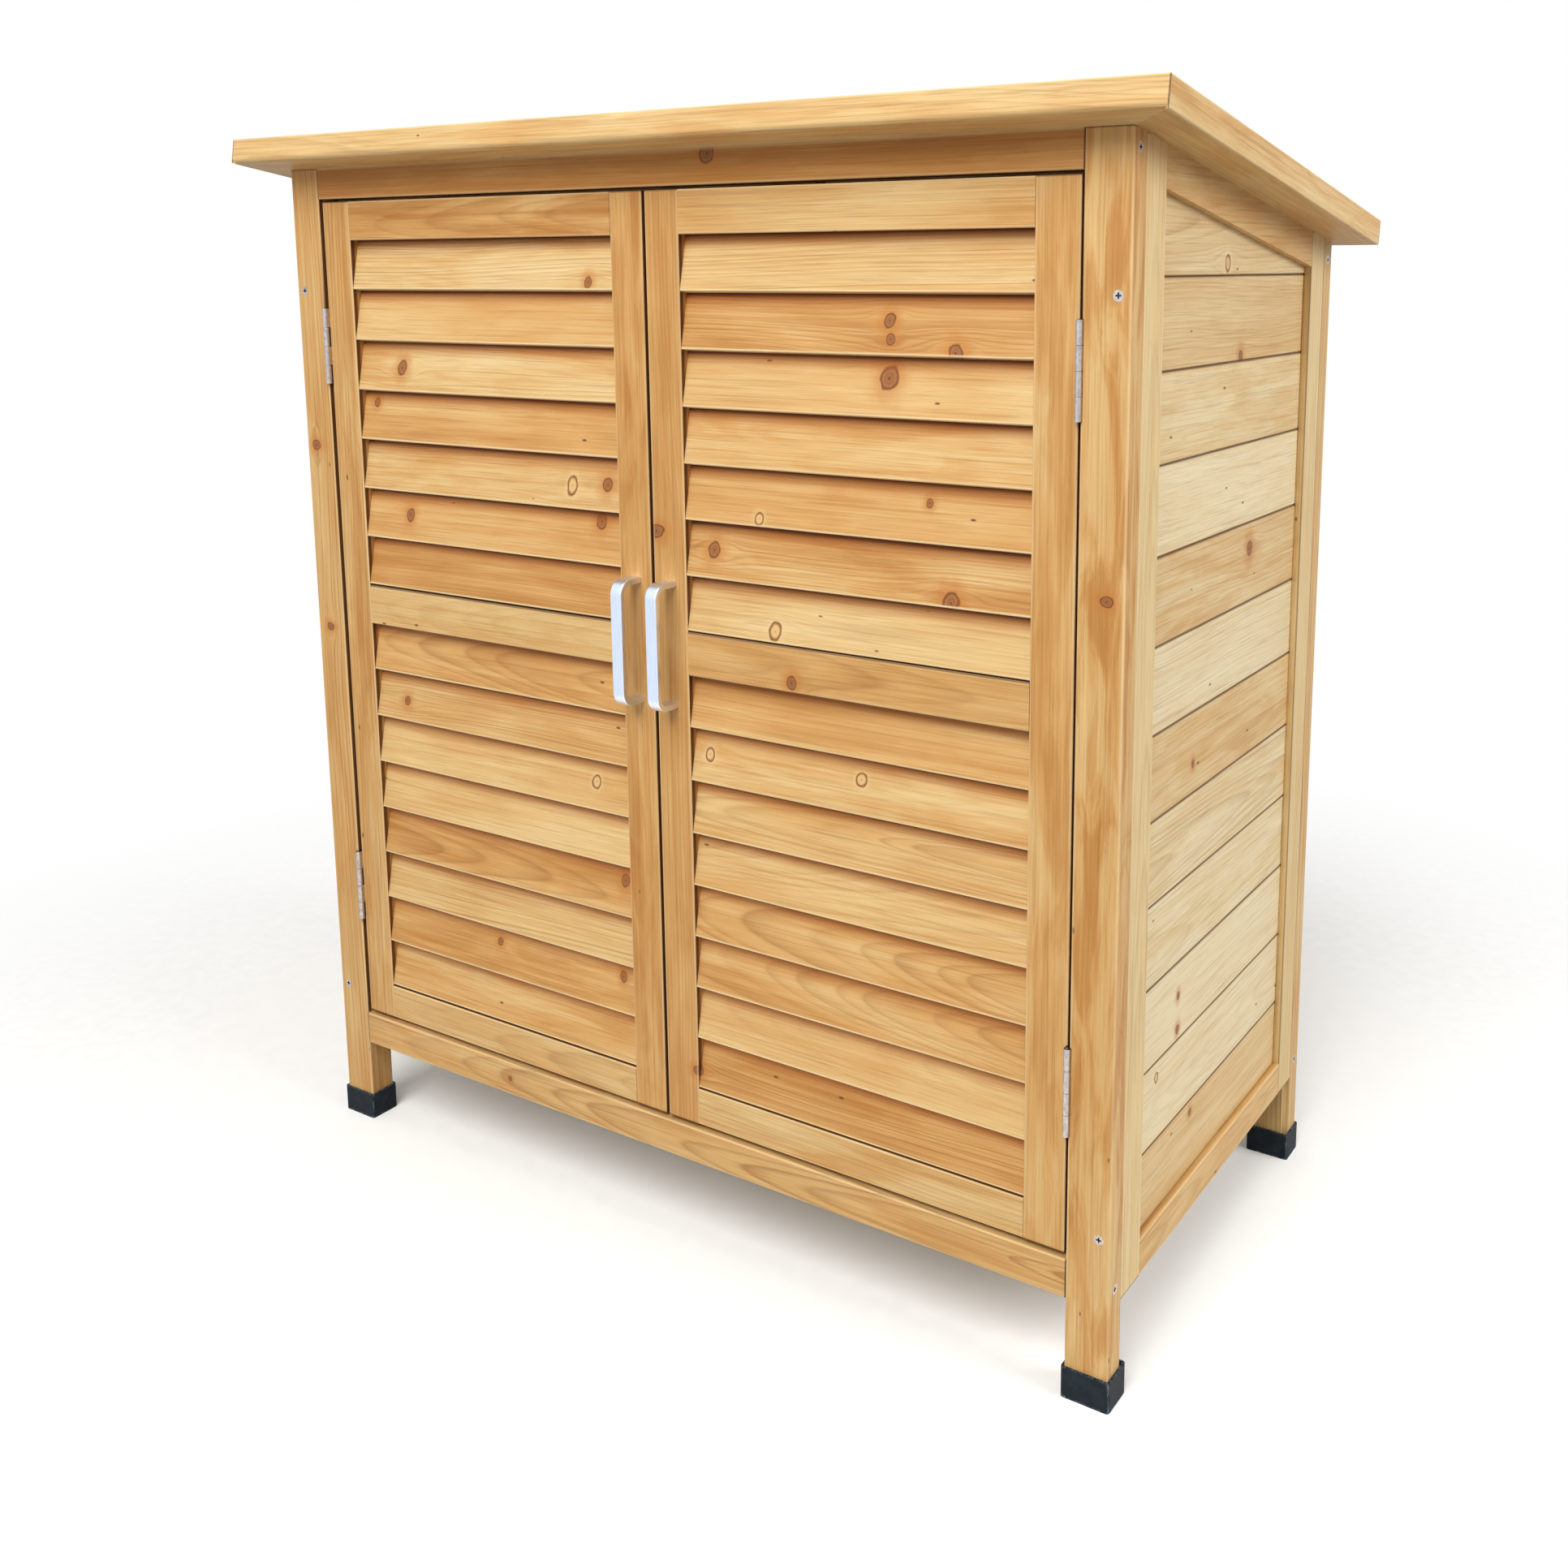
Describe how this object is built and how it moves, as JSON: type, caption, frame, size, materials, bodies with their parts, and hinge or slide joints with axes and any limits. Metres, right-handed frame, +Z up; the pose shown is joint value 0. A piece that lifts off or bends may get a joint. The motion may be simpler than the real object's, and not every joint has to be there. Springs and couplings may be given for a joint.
{
  "type": "garden storage cabinet",
  "caption": "Free-standing wooden garden cabinet with a mono-pitch roof, hinged louvred double doors, tongued board walls, a slatted shelf, bow handles and rubber-capped legs.",
  "frame": {"origin": "on the ground, under the middle of the roof's outline", "axes": "+X to the right as seen from the front, +Y to the back, +Z up; the doors face -Y"},
  "size_m": [0.87, 0.4646, 0.9158],
  "materials": {
    "fir_frame": "planed fir frame members, honey-coloured stain",
    "fir_louvre": "planed fir louvres, honey-coloured stain",
    "fir_board": "planed fir boards, pale honey stain",
    "roof_felt": "mineral-faced roofing felt",
    "cap_rubber": "scuffed blue-black moulded rubber",
    "satin_aluminium": "satin anodised aluminium",
    "zinc_steel": "bright zinc-plated steel",
    "catch_plastic": "off-white moulded plastic"
  },
  "bodies": {
    "cabinet": {"front_left_leg": "fir_frame", "front_right_leg": "fir_frame", "rear_left_leg": "fir_frame", "rear_right_leg": "fir_frame", "foot_caps": "cap_rubber", "front_top_rail": "fir_frame", "front_bottom_rail": "fir_frame", "left_side_front_stile": "fir_frame", "left_side_rear_stile": "fir_frame", "left_side_top_rail": "fir_frame", "left_side_bottom_rail": "fir_frame", "left_side_boards": "fir_board", "right_side_front_stile": "fir_frame", "right_side_rear_stile": "fir_frame", "right_side_top_rail": "fir_frame", "right_side_bottom_rail": "fir_frame", "right_side_boards": "fir_board", "back_left_stile": "fir_frame", "back_right_stile": "fir_frame", "back_top_rail": "fir_frame", "back_bottom_rail": "fir_frame", "back_boards": "fir_board", "floor_bearers": "fir_frame", "floor_boards": "fir_board", "shelf_bearers": "fir_frame", "shelf_cleats": "fir_frame", "shelf_boards": "fir_board", "door_stop": "fir_frame", "door_catches": "catch_plastic", "roof_front_member": "fir_frame", "roof_rear_member": "fir_frame", "roof_left_member": "fir_frame", "roof_right_member": "fir_frame", "roof_deck": "fir_board", "roof_felt": "roof_felt", "leg_hinge_leaves": "zinc_steel", "hinge_pins": "zinc_steel", "leg_hinge_screws": "zinc_steel", "cabinet_screws": "zinc_steel"},
    "left_door": {"left_door_hinge_stile": "fir_frame", "left_door_meeting_stile": "fir_frame", "left_door_top_rail": "fir_frame", "left_door_mid_rail": "fir_frame", "left_door_bottom_rail": "fir_frame", "left_door_louvres": "fir_louvre", "left_door_handle": "satin_aluminium", "left_door_hinge_leaves": "zinc_steel", "left_door_screws": "zinc_steel", "left_door_strike_plate": "zinc_steel"},
    "right_door": {"right_door_hinge_stile": "fir_frame", "right_door_meeting_stile": "fir_frame", "right_door_top_rail": "fir_frame", "right_door_mid_rail": "fir_frame", "right_door_bottom_rail": "fir_frame", "right_door_louvres": "fir_louvre", "right_door_handle": "satin_aluminium", "right_door_hinge_leaves": "zinc_steel", "right_door_screws": "zinc_steel", "right_door_strike_plate": "zinc_steel"}
  },
  "joints": [
    {"name": "left_door_hinge", "type": "hinge", "parent": "cabinet", "child": "left_door", "pos_m": [-0.36455, -0.1998, 0.4861], "axis": [0, 0, -1], "range_deg": [0, 180]},
    {"name": "right_door_hinge", "type": "hinge", "parent": "cabinet", "child": "right_door", "pos_m": [0.36455, -0.1998, 0.4861], "axis": [0, 0, 1], "range_deg": [0, 180]}
  ]
}
